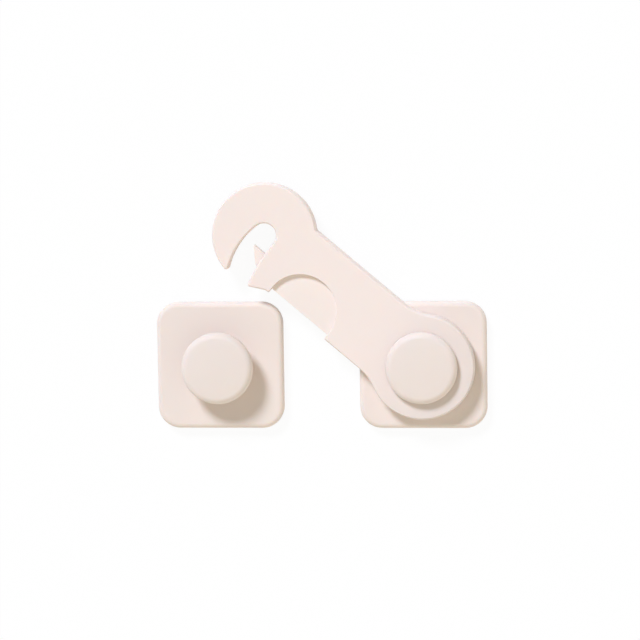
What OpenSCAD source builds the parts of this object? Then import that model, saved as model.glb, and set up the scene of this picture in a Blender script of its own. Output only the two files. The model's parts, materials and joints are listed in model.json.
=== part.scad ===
// Cabinet safety lock.
// Two stick-on bases carry round-capped posts. A hook arm turns on the pivot post and
// snaps over the catch post, where a sprung slider in the arm holds it. The thumb draws
// the slider back through the round recess in the arm's side.
//
// Millimetres. The origin is the middle of the pivot base's sticking face. +X points from
// the catch to the pivot, +Z out of the door. The arm is drawn lying along +X, with its
// mouth towards +Y, and is then turned to the angle at which it stands open.

/* [Reach] */
// Distance between the two posts, which is also the arm's reach from pivot to hook
reach = 64; // [60:0.5:72]
// Angle by which the arm stands open
open_angle = 40.4; // [15:0.1:90]

/* [Bases] */
// Width of each square base
plate_w = 40; // [38:0.5:46]
// Thickness of each base at its rim
plate_t = 3.4; // [3:0.1:5]
// Radius of the base's corners
plate_corner_r = 7; // [5:0.5:10]
// Rounding of the base's front edge
plate_edge_r = 1.6; // [0.6:0.1:2.2]
// Radius of both posts
post_r = 3.5; // [3.3:0.05:3.9]

/* [Caps] */
// Radius of the round cap on each post
cap_r = 11.25; // [10:0.25:13]
// Height of the cap at its middle
cap_h = 3.3; // [3:0.1:5]
// Rounding of the cap's front edge
cap_edge_r = 2.2; // [1:0.1:2.4]
// Rise of the cap's domed face from its rim to its middle
cap_crown = 0.6; // [0.3:0.1:0.9]
// Radius of the spigot that fills the post
spigot_r = 2.35; // [2.1:0.05:2.5]

/* [Sticking pads] */
// Width of the foam pad behind each base
pad_w = 36; // [30:0.5:37]
// Thickness of the foam pad
pad_t = 1; // [0.8:0.1:1.6]
// Radius of the pad's corners
pad_corner_r = 5.5; // [3:0.5:8]
// Depth to which the pad is let into the base
pad_recess = 0.4; // [0.2:0.1:0.6]

/* [Arm] */
// Thickness of the arm
arm_t = 5; // [4.8:0.1:7]
// Distance from the arm's middle line to the bar's back edge
bar_back = 11.7; // [11:0.1:12.5]
// Distance from the arm's middle line to the bar's thumb edge
bar_front = 13; // [12:0.1:14]
// Radius of the ring that turns on the pivot post
ring_r = 16.5; // [15:0.25:19]
// Radius of the round hook head
head_r = 16.4; // [15.5:0.1:18]
// Radius of the mouth's outer edge, inside the finger
mouth_r = 24; // [24:0.5:30]
// Angle from the arm's line at which the seat runs into the mouth's outer edge
mouth_turn = 14; // [14:1:28]
// Angle round the pivot at which the jaw's corner stands
jaw_turn = 14.3; // [13:0.1:16]
// Slope of the jaw's lower edge to the bar
jaw_slope = 27.7; // [20:0.1:35]
// Radius of the finger's tip and the jaw's corner
tip_r = 0.8; // [0.7:0.05:1]
// Width of the rounding round the arm's face
arm_edge_w = 0.7; // [0.4:0.05:0.7]
// Depth of the rounding round the arm's face
arm_edge_d = 1.2; // [0.6:0.1:1.3]
// Thickness of the arm's side walls
wall = 1.5; // [1.2:0.1:1.8]
// Thickness of the arm's face
face_t = 1.3; // [1.1:0.1:1.6]
// Thickness of the cover behind the arm
cover_t = 1; // [0.8:0.1:1.2]

/* [Thumb recess] */
// Radius of the round thumb recess
thumb_r = 11.4; // [9:0.1:12]
// Distance from the hook seat back to the middle of the recess
thumb_back = 23.7; // [23:0.1:25]
// Distance of the middle of the recess in from the bar's edge
thumb_in = 2.3; // [1.8:0.1:3]

/* [Latch] */
// Distance by which the latch's nose reaches into the mouth
nose_reach = 4.5; // [3.5:0.05:5]
// Width of the latch's nose
nose_w = 4.6; // [4.4:0.1:5]
// Width of the latch slider
slider_w = 12.3; // [11:0.1:12.8]
// Extra travel past the point where the nose is clear
latch_spare = 0.5; // [0.3:0.05:0.8]

/* [Spring] */
// Thickness of the spring's wire
wire_d = 0.3; // [0.25:0.05:0.4]
// Radius of the spring's curls, to the middle of the wire
curl_r = 1; // [0.8:0.05:1.05]
// Distance from the pivot's boss to the bay that holds the spring
bay_gap = 3.4; // [2:0.1:4.5]
// Number of curls
curl_count = 12; // [8:1:13]

/* [Screws] */
// Radius of the cap screws' shank
cap_screw_r = 0.9; // [0.8:0.05:1.1]
// Length of the cap screws under their head
cap_screw_len = 6.4; // [5:0.1:6.8]
// Radius of the cap screws' head
cap_screw_head_r = 2.2; // [1.8:0.1:2.3]
// Height of the cap screws' head
cap_screw_head_h = 1.5; // [1.2:0.1:1.8]
// Radius of the cover screws' shank
cover_screw_r = 0.7; // [0.6:0.05:0.85]
// Length of the cover screws, with their head
cover_screw_len = 3.2; // [2.6:0.1:3.4]
// Radius of the cover screws' sunk head
cover_screw_head_r = 1.45; // [1.3:0.05:1.6]
// Depth of the cover screws' sunk head
cover_screw_head_h = 0.7; // [0.5:0.05:0.75]

/* [Clearances] */
// Gap between the arm and the base behind it
gap_behind = 0.3; // [0.2:0.05:0.6]
// Gap between the arm and the cap in front of it
gap_before = 0.4; // [0.2:0.05:0.6]
// Running clearance of the ring on its post, on the radius
pivot_clear = 0.1; // [0.05:0.01:0.1]
// Clearance of the hook's seat round the catch post, on the radius
seat_clear = 0.2; // [0.15:0.05:0.4]
// Clearance between the latch's nose and the post that it holds
nose_clear = 0.9; // [0.3:0.05:1]
// Sliding clearance of the latch at its sides
slide_clear = 0.15; // [0.1:0.05:0.2]
// Sliding clearance of the latch at its faces
slide_gap = 0.1; // [0.05:0.01:0.15]
// Clearance of the fitted pieces that don't move
fit = 0.1; // [0.05:0.01:0.15]
// Clearance of screws in their holes, on the radius
screw_clear = 0.05; // [0.02:0.01:0.1]

/* [Hidden] */
$fn = 96;
hull_fn = 32;
cut = 1;

cream = [0.94, 0.88, 0.85];
cream_shade = [0.9, 0.84, 0.8];
foam = [0.93, 0.93, 0.91];
steel = [0.72, 0.73, 0.75];

// Heights of the stack, from the sticking face outwards
plate_z0 = pad_t - pad_recess;
plate_z1 = plate_z0 + plate_t;
arm_z0 = plate_z1 + gap_behind;
arm_z1 = arm_z0 + arm_t;
cap_z0 = arm_z1 + gap_before;
channel_z0 = arm_z0 + cover_t;
channel_z1 = arm_z1 - face_t;

// Inside of the post and the spigot of the cap in it
spigot_gap = 0.3;
post_floor = 2;
socket_r = spigot_r + fit / 2;
screw_seat_z = pad_t + cap_screw_head_h + fit;
socket_z0 = screw_seat_z + post_floor;
spigot_z0 = socket_z0 + spigot_gap;
screw_well_r = cap_screw_head_r + fit;
cap_pilot_z1 = screw_seat_z + cap_screw_len + spigot_gap;

// Outline of the arm
seat_r = post_r + seat_clear;
jaw_r = reach - seat_r;
shoulder_r = 16;
back_a = asin((bar_back + shoulder_r) / (ring_r + shoulder_r));
back_x = (ring_r + shoulder_r) * cos(back_a);
front_a = asin((bar_front + shoulder_r) / (ring_r + shoulder_r));
front_x = (ring_r + shoulder_r) * cos(front_a);
crease_r = 1.5;
crease_x = reach - sqrt(pow(head_r + crease_r, 2) - pow(bar_back + crease_r, 2));
crease_a = atan2(bar_back + crease_r, reach - crease_x);
seat_c = [reach, 0];
mouth_c = seat_c - polar(mouth_r - seat_r, -mouth_turn);
tip_c = circles_meet(seat_c, head_r - tip_r, mouth_c, mouth_r + tip_r);
tip_a0 = angle_of(tip_c - seat_c);
tip_a1 = 360 + angle_of(mouth_c - tip_c);
jaw_c = polar(jaw_r - tip_r, jaw_turn);
jaw_n = polar(1, 90 + jaw_slope);
heel_r = 1.5;
heel_y = bar_front + heel_r;
heel_x = (cos(jaw_slope) * heel_y - (jaw_n * jaw_c + tip_r + heel_r)) / sin(jaw_slope);

// Thumb recess, latch and spring
rib = 1.2;
boss_wall = 2;
pivot_boss_r = post_r + pivot_clear + boss_wall;
thumb_c = [reach - thumb_back, bar_front - thumb_in];
thumb_half = thumb_r - fit;
travel = nose_reach + latch_spare;
nose_y0 = post_r + nose_clear;
nose_tip_x = jaw_r + nose_reach;
slider_z0 = channel_z0 + slide_gap;
slider_z1 = channel_z1 - slide_gap;
slider_y1 = bar_front - wall - slide_clear;
slider_y0 = slider_y1 - slider_w;
slider_tail = 1.9;
slider_x0 = thumb_c.x - thumb_r - slider_tail;
stop_gap = 0.2;
stop_r = jaw_r - wall;
nose_root_x = stop_r - 2 * wall;
channel_x0 = slider_x0 - travel - stop_gap;
spring_y = slider_y0 + slider_w / 2;
spring_z = (channel_z0 + channel_z1) / 2;
spring_x0 = pivot_boss_r + bay_gap + rib;
spring_len = slider_x0 - spring_x0;
spring_bay = 2 * (curl_r + wire_d / 2) + 4 * slide_clear;
peg_r = curl_r - wire_d / 2 - 2 * slide_clear;
peg_len = 2.4;

// Ribs and bosses inside the arm
boss_r = 2;
ring_spokes = [100, 140, 180, 220, 260];
head_spokes = [-100, -mouth_turn, 30];
cross_shares = [0, 1 / 3, 2 / 3, 1];
boss_depth = 0.3;

// Places of the cover screws: one in the ring, two in the bar, one in the head
screw_row_y = (slider_y0 - slide_clear - rib - bar_back + wall) / 2;
crescent_r = (head_r - wall + seat_r + wall) / 2;
screw_places = [
    [-(ring_r - wall + pivot_boss_r) / 2, 0],
    [channel_x0 + boss_r, screw_row_y],
    [crease_x - boss_r, screw_row_y],
    seat_c + polar(crescent_r, -mouth_turn),
];

function polar(r, a) = [r * cos(a), r * sin(a)];
function angle_of(v) = atan2(v.y, v.x);

// Points along an arc about c: n steps, with or without the last point
function arc(c, r, a0, a1, n, last = 1) =
    [for (i = [0:n - 1 + last]) c + polar(r, a0 + (a1 - a0) * i / n)];

// Left-hand meeting point of two circles, seen from the first middle to the second
function circles_meet(c0, r0, c1, r1) =
    let (line = c1 - c0, gap = norm(line), along = (r0 * r0 - r1 * r1 + gap * gap) / (2 * gap),
         side = sqrt(r0 * r0 - along * along))
    c0 + along / gap * line + side / gap * [line.y, -line.x];

// Outline of the arm, drawn in by d all round: every stretch is an arc, and the straights
// join the ends of arcs. Arcs that bulge outwards shrink by d and hollow ones grow by d.
function arm_outline(d) = concat(
    arc([0, 0], ring_r - d, front_a, 360 - back_a, 36, 0),
    arc([back_x, -bar_back - shoulder_r], shoulder_r + d, 180 - back_a, 90, 5),
    arc([crease_x, -bar_back - crease_r], crease_r + d, 90, crease_a, 3, 0),
    arc(seat_c, head_r - d, 180 + crease_a, 360 + tip_a0, 34, 0),
    arc(tip_c, tip_r - d, tip_a0, tip_a1, 6, 0),
    arc(mouth_c, mouth_r + d, tip_a1 - 180, -mouth_turn, 8, 0),
    arc(seat_c, seat_r + d, -mouth_turn, -180, 16, 0),
    arc([0, 0], jaw_r - d, 0, jaw_turn, 5, 0),
    arc(jaw_c, tip_r - d, jaw_turn, 90 + jaw_slope, 4),
    arc([heel_x, heel_y], heel_r + d, jaw_slope - 90, -90, 3),
    arc([front_x, bar_front + shoulder_r], shoulder_r + d, 270, 180 + front_a, 5, 0)
);

// Faces of a loft through rings of n points each that closes on its first ring
function loop_faces(rings, n) = [for (k = [0:rings - 1], i = [0:n - 1])
    let (j = (i + 1) % n, a = k * n, b = (k + 1) % rings * n)
    each [[a + i, a + j, b + i], [a + j, b + j, b + i]]];

// Faces of a loft through rings of n points each, closed by a flat face at each end
function loft_faces(rings, n) = concat(
    [[for (i = [0:n - 1]) i]],
    [for (k = [0:rings - 2], i = [0:n - 1])
        let (j = (i + 1) % n, a = k * n)
        each [[a + i, a + n + i, a + j], [a + j, a + n + i, a + n + j]]],
    [[for (i = [n - 1:-1:0]) (rings - 1) * n + i]]
);

module at_catch() translate([-reach, 0, 0]) children();

module on_arm() rotate([0, 0, 180 - open_angle]) children();

module rounded_square(w, r) {
    square([w, w - 2 * r], center = true);
    square([w - 2 * r, w], center = true);
    for (x = [-1, 1], y = [-1, 1]) translate([x, y] * (w / 2 - r)) circle(r = r);
}

// Base plate with a rounded front edge: four turned corners in one hull
module plate_block() {
    corner = plate_w / 2 - plate_corner_r;
    hull() for (x = [-1, 1], y = [-1, 1]) translate([x * corner, y * corner, plate_z0])
        rotate_extrude($fn = hull_fn) {
            square([plate_corner_r, plate_t - plate_edge_r]);
            square([plate_corner_r - plate_edge_r, plate_t]);
            translate([plate_corner_r - plate_edge_r, plate_t - plate_edge_r])
                circle(r = plate_edge_r, $fn = hull_fn);
        }
}

module base() {
    difference() {
        union() {
            plate_block();
            translate([0, 0, pad_t]) cylinder(r = post_r, h = cap_z0 - pad_t);
        }
        translate([0, 0, plate_z0 - cut]) linear_extrude(pad_recess + cut)
            rounded_square(pad_w + 2 * fit, pad_corner_r + fit);
        cylinder(r = screw_well_r, h = screw_seat_z);
        cylinder(r = cap_screw_r + screw_clear, h = cap_z0);
        translate([0, 0, socket_z0]) cylinder(r = socket_r, h = cap_z0 - socket_z0 + cut);
    }
}

// Half section of the cap: a flat-bottomed disc under a low dome. The rounding of the edge
// touches the dome from inside, so that one runs into the other.
module cap_section() {
    dome_r = (pow(cap_r, 2) + pow(cap_crown, 2)) / (2 * cap_crown);
    dome_z = cap_h - dome_r;
    edge_x = cap_r - cap_edge_r;
    edge_z = dome_z + sqrt(pow(dome_r - cap_edge_r, 2) - pow(edge_x, 2));
    square([cap_r, edge_z]);
    translate([edge_x, edge_z]) circle(r = cap_edge_r);
    intersection() {
        square([edge_x * dome_r / (dome_r - cap_edge_r), cap_h]);
        translate([0, dome_z]) circle(r = dome_r, $fn = 720);
    }
}

module cap() {
    difference() {
        union() {
            translate([0, 0, cap_z0]) rotate_extrude() intersection() {
                cap_section();
                square([cap_r, cap_h]);
            }
            translate([0, 0, spigot_z0])
                cylinder(r = spigot_r, h = cap_z0 - spigot_z0 + cap_edge_r / 2);
        }
        cylinder(r = cap_screw_r + screw_clear, h = cap_pilot_z1);
    }
}

// Crossed slots for the driver, each a quarter as wide as it is long
module cross_slot(len, depth) {
    for (a = [0, 90]) rotate([0, 0, a]) translate([-len / 2, -len / 8, 0]) cube([len, len / 4, depth]);
}

module cap_screw() {
    recess = cap_screw_head_h / 2;
    difference() {
        union() {
            translate([0, 0, screw_seat_z - cap_screw_head_h])
                cylinder(r = cap_screw_head_r, h = cap_screw_head_h);
            translate([0, 0, screw_seat_z - recess / 2])
                cylinder(r = cap_screw_r, h = cap_screw_len + recess / 2);
        }
        translate([0, 0, screw_seat_z - cap_screw_head_h - cut])
            cross_slot(cap_screw_head_r, recess + cut);
    }
}

module adhesive_pad() linear_extrude(pad_t) rounded_square(pad_w, pad_corner_r);

// Solid arm, with the rounding of its face cut away by a loop that follows the outline
module arm_block() {
    difference() {
        translate([0, 0, arm_z0]) linear_extrude(arm_t) polygon(arm_outline(0));
        face_edge_cutter();
    }
}

// The loop's section is the corner outside a quarter of an ellipse. It starts a little
// outside the wall, so that it enters the solid at a clear angle.
module face_edge_cutter() {
    steps = 4;
    rounding = [for (i = [0:steps])
        let (a = 90 * i / steps) [arm_edge_w * (1 - cos(a)), arm_z1 - arm_edge_d * (1 - sin(a))]];
    lead_in = rounding[0] - (rounding[1] - rounding[0]) / steps;
    outside = -crease_r / 2;
    section = concat(
        [[outside, arm_z1 + cut], [outside, lead_in.y], lead_in],
        [for (i = [1:steps]) rounding[i]],
        [[arm_edge_w, arm_z1 + cut]]
    );
    points = [for (q = section, p = arm_outline(q.x)) [p.x, p.y, q.y]];
    polyhedron(points, loop_faces(len(section), len(arm_outline(0))));
}

// Plan of the arm drawn in by d, in true circles, for the hollow and the cover. The mouth's
// edge is drawn a hair short, so that it crosses the seat's circle and doesn't just touch it.
module arm_plan(d) {
    difference() {
        union() {
            circle(r = ring_r - d);
            translate([0, d - bar_back]) square([reach, bar_back + bar_front - 2 * d]);
            translate(seat_c) circle(r = head_r - d);
        }
        translate(seat_c) circle(r = seat_r + d);
        difference() {
            union() {
                translate(mouth_c) rotate(-mouth_turn) intersection() {
                    circle(r = mouth_r + d - fit / 4);
                    square(reach);
                }
                translate([jaw_r - 2 * d, 0]) square([seat_r + 2 * d, seat_r]);
            }
            circle(r = jaw_r - d);
        }
        translate(tip_c) circle(r = 2 * d);
    }
}

// Ribs and bosses that stand in the arm up to the cover
module arm_ribs() {
    channel_y0 = slider_y0 - slide_clear;
    back_y = wall / 2 - bar_back;
    front_y = bar_front - wall / 2;
    // Ring: spokes from the pivot boss to the outer wall
    for (a = ring_spokes) rotate(a) translate([0, -rib / 2]) square([ring_r - wall / 2, rib]);
    // Head: spokes from the seat's wall to the outer wall
    translate(seat_c) for (a = head_spokes) rotate(a)
        translate([seat_r, -rib / 2]) square([head_r - seat_r - wall / 2, rib]);
    // Channel: its long rib, its end wall, and the bay that holds the spring
    translate([channel_x0 - rib, channel_y0 - rib]) square([stop_r - channel_x0 + wall, rib]);
    difference() {
        union() {
            translate([channel_x0 - rib, channel_y0 - rib]) square([rib, front_y - channel_y0 + rib]);
            translate([spring_x0 - rib, spring_y - spring_bay / 2 - rib])
                square([channel_x0 - spring_x0 + rib / 2, spring_bay + 2 * rib]);
        }
        translate([spring_x0, spring_y - spring_bay / 2]) square([channel_x0 - spring_x0 + rib, spring_bay]);
    }
    // Bar: cross ribs beside the channel, the first and the last through a screw boss
    for (s = cross_shares)
        translate([screw_places[1].x + s * (screw_places[2].x - screw_places[1].x) - rib / 2, back_y])
            square([rib, channel_y0 - rib / 2 - back_y]);
    for (p = screw_places) translate(p) circle(r = boss_r);
}

module arm_shell_body() {
    difference() {
        arm_block();
        // Seat of the cover, and the hollow in front of it
        translate([0, 0, arm_z0 - cut]) linear_extrude(cover_t + cut) difference() {
            arm_plan(wall);
            circle(r = pivot_boss_r);
        }
        translate([0, 0, channel_z0 - fit]) linear_extrude(channel_z1 - channel_z0 + fit) difference() {
            arm_plan(wall);
            circle(r = pivot_boss_r);
            arm_ribs();
        }
        // Pivot bore, thumb recess with its open side, and the window for the nose
        translate([0, 0, arm_z0 - cut]) cylinder(r = post_r + pivot_clear, h = arm_t + 2 * cut);
        translate([thumb_c.x, thumb_c.y, channel_z1 - fit]) cylinder(r = thumb_r, h = face_t + fit + cut);
        translate([thumb_c.x - thumb_half, bar_front - wall, arm_z0 - cut])
            cube([2 * thumb_half, wall + bar_front, arm_t + 2 * cut]);
        translate([stop_r - wall, nose_y0 - slide_clear, channel_z0])
            cube([2 * wall + seat_r, nose_w + 2 * slide_clear, channel_z1 - channel_z0]);
        for (p = screw_places) translate([p.x, p.y, arm_z0])
            cylinder(r = cover_screw_r + screw_clear, h = cover_screw_len + boss_depth);
    }
    // Peg that centres the spring on the end wall of its bay
    translate([spring_x0 - rib / 2, spring_y, spring_z]) rotate([0, 90, 0]) cylinder(r = peg_r, h = peg_len);
}

module arm_cover_body() {
    difference() {
        translate([0, 0, arm_z0]) linear_extrude(cover_t) difference() {
            arm_plan(wall + fit);
            circle(r = pivot_boss_r + fit);
        }
        for (p = screw_places) translate([p.x, p.y, arm_z0]) {
            translate([0, 0, -cut]) cylinder(r = cover_screw_r + screw_clear, h = cover_t + 2 * cut);
            cylinder(
                r1 = cover_screw_head_r + screw_clear,
                r2 = cover_screw_r + screw_clear,
                h = cover_screw_head_h
            );
        }
    }
}

module cover_screw() {
    difference() {
        union() {
            cylinder(r1 = cover_screw_head_r, r2 = cover_screw_r, h = cover_screw_head_h);
            cylinder(r = cover_screw_r, h = cover_screw_len);
        }
        translate([0, 0, -cut]) cross_slot(cover_screw_head_r, cut + cover_screw_head_h / 2);
    }
}

// Plan of the slider: a plate that fills its channel, and the nose with its ramp
module slider_plan() {
    intersection() {
        translate([slider_x0, slider_y0]) square([reach, slider_w]);
        circle(r = stop_r - stop_gap);
    }
    polygon([
        [nose_root_x, nose_y0],
        [nose_tip_x, nose_y0],
        [nose_tip_x - nose_w, nose_y0 + nose_w],
        [nose_root_x, nose_y0 + nose_w],
    ]);
}

module slider_body() {
    translate([0, 0, slider_z0]) linear_extrude(slider_z1 - slider_z0) slider_plan();
    translate([slider_x0 - peg_len, spring_y, spring_z]) rotate([0, 90, 0])
        cylinder(r = peg_r, h = peg_len + rib / 2);
}

// Spring: one round wire in curls about the arm's line, with a short straight at each end.
// A place on the wire is [distance along, angle round, slope of the wire].
curl_steps = 8;
wire_sides = 6;
end_share = 0.6;
curl_len = spring_len - 2 * wire_d;
curl_slope = atan2(curl_len / curl_count, 2 * PI * curl_r);
curl_end = curl_count * curl_steps;
wire_places = concat(
    [[0, 0, 90], [end_share * wire_d, 0, 90]],
    [for (i = [1:curl_end - 1]) [wire_d + curl_len * i / curl_end, 360 * i / curl_steps, curl_slope]],
    [[spring_len - end_share * wire_d, 0, 90], [spring_len, 0, 90]]
);

function wire_middle(place) = [place[0], curl_r * cos(place[1]), curl_r * sin(place[1])];

function wire_point(place, side) =
    let (a = place[1], s = 360 * side / wire_sides, out = [0, cos(a), sin(a)],
         ahead = [sin(place[2]), -cos(place[2]) * sin(a), cos(place[2]) * cos(a)])
    wire_middle(place) + wire_d / 2 * (cos(s) * out + sin(s) * cross(ahead, out));

// Least distance between a place on one curl and the places beside it on the next
function curl_gap(i) = min([for (j = [i + curl_steps - 2:i + curl_steps + 2])
    norm(wire_middle(wire_places[i]) - wire_middle(wire_places[j]))]) - wire_d;

echo(least_gap_between_curls = min([for (i = [2:curl_end - curl_steps - 3]) curl_gap(i)]));

module spring_body() translate([spring_x0, spring_y, spring_z])
    polyhedron(
        [for (p = wire_places, s = [0:wire_sides - 1]) wire_point(p, s)],
        loft_faces(len(wire_places), wire_sides)
    );

module pivot_base() color(cream) base();
module pivot_cap() color(cream) cap();
module pivot_cap_screw() color(steel) cap_screw();
module pivot_adhesive_pad() color(foam) adhesive_pad();
module catch_base() color(cream) at_catch() base();
module catch_cap() color(cream) at_catch() cap();
module catch_cap_screw() color(steel) at_catch() cap_screw();
module catch_adhesive_pad() color(foam) at_catch() adhesive_pad();
module arm_shell() color(cream) on_arm() arm_shell_body();
module arm_cover() color(cream_shade) on_arm() arm_cover_body();
module arm_cover_screws() color(steel) on_arm()
    for (p = screw_places) translate([p.x, p.y, arm_z0]) cover_screw();
module latch_slider() color(cream) on_arm() slider_body();
module latch_spring() color(steel) on_arm() spring_body();

pivot_base();
pivot_cap();
pivot_cap_screw();
pivot_adhesive_pad();
catch_base();
catch_cap();
catch_cap_screw();
catch_adhesive_pad();
arm_shell();
arm_cover();
arm_cover_screws();
latch_slider();
latch_spring();
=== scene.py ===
# %% [markdown]
# # A cabinet safety lock
# Two square stick-on bases carry posts with round caps. A flat hook arm turns on one post and
# snaps over the other, where a sprung slider holds it. Everything is moulded in a warm cream
# plastic with a satin skin, so the looks rest on true curves, soft edges and soft light. The
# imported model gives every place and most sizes, and this lesson dresses it with finer surfaces.

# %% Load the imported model
import json

import bpy
import numpy as np
from mathutils import Matrix, Vector


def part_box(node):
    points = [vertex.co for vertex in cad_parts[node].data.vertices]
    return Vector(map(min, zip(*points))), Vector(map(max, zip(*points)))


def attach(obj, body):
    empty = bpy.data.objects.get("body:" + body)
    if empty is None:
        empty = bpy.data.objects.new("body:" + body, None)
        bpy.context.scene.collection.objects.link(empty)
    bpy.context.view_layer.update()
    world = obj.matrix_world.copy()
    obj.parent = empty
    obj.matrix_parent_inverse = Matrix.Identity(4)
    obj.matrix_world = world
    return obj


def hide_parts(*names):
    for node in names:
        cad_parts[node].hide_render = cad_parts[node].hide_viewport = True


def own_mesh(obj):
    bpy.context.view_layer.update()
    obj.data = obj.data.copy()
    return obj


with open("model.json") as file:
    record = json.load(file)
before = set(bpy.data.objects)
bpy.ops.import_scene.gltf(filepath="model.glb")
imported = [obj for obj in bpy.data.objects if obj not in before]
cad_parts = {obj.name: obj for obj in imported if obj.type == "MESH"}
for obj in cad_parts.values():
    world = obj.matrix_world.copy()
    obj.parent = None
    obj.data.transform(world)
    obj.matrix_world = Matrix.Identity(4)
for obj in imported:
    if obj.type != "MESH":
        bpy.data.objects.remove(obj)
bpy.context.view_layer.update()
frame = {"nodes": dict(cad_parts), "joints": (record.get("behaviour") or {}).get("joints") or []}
print("nodes:", ", ".join(sorted(frame["nodes"])))

# %% [markdown]
# ## Sizes
# The shapes are thought out in millimetres, as a moulder would, and turned into metres at the
# very end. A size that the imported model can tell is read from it. The rest are the sizes of
# edges, walls and gaps, each with its own name, so that a change is made in one place.

# %% Sizes read from the model
MM = 0.001


def box_mm(node):
    """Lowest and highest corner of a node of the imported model, in millimetres."""
    low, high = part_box(node)
    return np.array(low) / MM, np.array(high) / MM


base_low, base_high = box_mm("pivot_base")
cap_low, cap_high = box_mm("pivot_cap")
pad_low, pad_high = box_mm("pivot_adhesive_pad")
arm_low, arm_high = box_mm("arm_shell")
slider_low, slider_high = box_mm("latch_slider")
cover_low, cover_high = box_mm("arm_cover")
catch_low, catch_high = box_mm("catch_base")
swing = next(joint for joint in frame["joints"] if joint["name"] == "arm_swing")
slide = next(joint for joint in frame["joints"] if joint["name"] == "latch_slide")

plate_half = base_high[0]
cap_r = cap_high[0]
pad_half = pad_high[0]
ring_r = arm_high[0]
reach = (base_low[0] + base_high[0] - catch_low[0] - catch_high[0]) / 2
open_turn = np.radians(180 - swing["range_deg"][1])
travel = slide["range_m"][1] / MM
print(f"reach {reach:.1f} mm, arm turned {np.degrees(open_turn):.1f} degrees")
print(f"travel of the slider {travel:.1f} mm")

# %% Sizes of walls, edges and gaps
fit = 0.1
pivot_clear = 0.1
seat_clear = 0.2
slide_clear = 0.15
nose_clear = 0.9
stop_gap = 0.2
screw_play = 0.05
post_r = 3.5
plate_t = 3.4
plate_corner_r = 7.0
plate_edge_r = 1.6
cap_h = 3.3
cap_edge_r = 2.2
cap_crown = 0.6
spigot_r = 2.35
screw_well_r = 2.3
screw_seat_z = 2.6
socket_z0 = 4.6
pad_corner_r = 5.5
bar_back = 11.7
bar_front = 13.0
head_r = 16.4
mouth_r = 24.0
mouth_turn = np.radians(14)
jaw_turn = np.radians(14.3)
jaw_slope = np.radians(27.7)
tip_r = 0.8
shoulder_r = 16.0
crease_r = 1.5
heel_r = 1.5
wall = 1.5
rib = 1.2
boss_wall = 2.0
face_t = 1.3
cover_t = cover_high[2] - cover_low[2]
seat_r = post_r + seat_clear
jaw_r = reach - seat_r
thumb_r = 11.4
thumb_back, thumb_in = 23.7, 2.3
thumb_at = np.array([reach - thumb_back, bar_front - thumb_in])
slider_w = 12.3
slider_tail = 1.9
nose_reach, nose_w = 4.5, 4.6
bay_gap = 3.4

# %% [markdown]
# ## From a formula to a mesh
# Nearly every piece here is a stack of closed rings. Ring after ring is joined by quads, and
# the first and last ring are closed by one flat face each. A grid like this gives smooth
# shading for free, because the quads follow the flow of the surface. Whole rings are worked
# out as arrays, so no loop ever runs over single points.

# %% Helpers that make meshes
STEP = 0.35
SHARP = np.radians(32)
FLAT_FACES_RULE = 80


def new_piece(name, points, faces):
    """A mesh object from points in millimetres and faces as lists of point numbers."""
    mesh = bpy.data.meshes.new(name)
    mesh.from_pydata((np.asarray(points) * MM).tolist(), [], faces)
    mesh.validate()
    piece = bpy.data.objects.new(name, mesh)
    bpy.context.scene.collection.objects.link(piece)
    return piece


def stack(name, rings):
    """A mesh through rings, an array of (rings, points, 3), counter-clockwise and upwards.

    Quad (i, j) joins points j and j + 1 of ring i to the same points of ring i + 1. The first
    and the last ring get one flat face each.
    """
    count, size = rings.shape[:2]
    i, j = np.meshgrid(np.arange(count - 1), np.arange(size), indexing="ij")
    after = (j + 1) % size
    low, high = i * size, (i + 1) * size
    quads = np.stack([low + j, low + after, high + after, high + j], -1)
    faces = quads.reshape(-1, 4).tolist()
    faces.append(list(range(size))[::-1])
    faces.append(list(range((count - 1) * size, count * size)))
    return new_piece(name, rings.reshape(-1, 3), faces)


def lift(path, height):
    """A flat path of (points, 2) raised to a height, as (points, 3)."""
    return np.column_stack([path, np.full(len(path), height)])


def quarter(start, end, steps=6, hollow=False):
    """Points of a quarter of an ellipse from start to end, each (inset, height).

    It leaves start upright and reaches end level: inset follows 1 - cos and height follows
    sin. Hollow swaps the two, so that it leaves start level and reaches end upright.
    """
    angle = np.linspace(0, np.pi / 2, steps + 1)
    ease_in, ease_out = 1 - np.cos(angle), np.sin(angle)
    across, up = (ease_out, ease_in) if hollow else (ease_in, ease_out)
    return [(start[0] + (end[0] - start[0]) * a, start[1] + (end[1] - start[1]) * b)
            for a, b in zip(across, up)]


def moulding(name, outline, profile):
    """A stack whose rings are outline(inset) at a height, for each (inset, height) of profile."""
    return stack(name, np.array([lift(outline(inset), height) for inset, height in profile]))


# %% [markdown]
# ## Cutting one form out of another
# A moulded part also has pockets and bores. Working them into the grid would bend its rings
# out of shape. An exact Boolean takes a second form away and keeps the rest of the surface as
# it was, which is how a tool cavity is cut as well. The cutter is deleted afterwards.

# %% Helpers that carve and finish
def baked(piece):
    """Replaces the piece's mesh by the one its modifiers give, and removes them."""
    evaluated = piece.evaluated_get(bpy.context.evaluated_depsgraph_get())
    mesh = bpy.data.meshes.new_from_object(evaluated)
    piece.modifiers.clear()
    old = piece.data
    piece.data = mesh
    bpy.data.meshes.remove(old)
    mesh.name = piece.name
    return piece


def carve(piece, cutters, operation="DIFFERENCE"):
    """Takes the cutters away from the piece, or adds them with UNION, and deletes them."""
    for cutter in cutters:
        modifier = piece.modifiers.new("carve", "BOOLEAN")
        modifier.operation = operation
        modifier.solver = "EXACT"
        modifier.object = cutter
    baked(piece)
    for cutter in cutters:
        bpy.data.objects.remove(cutter)
    return piece


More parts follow.
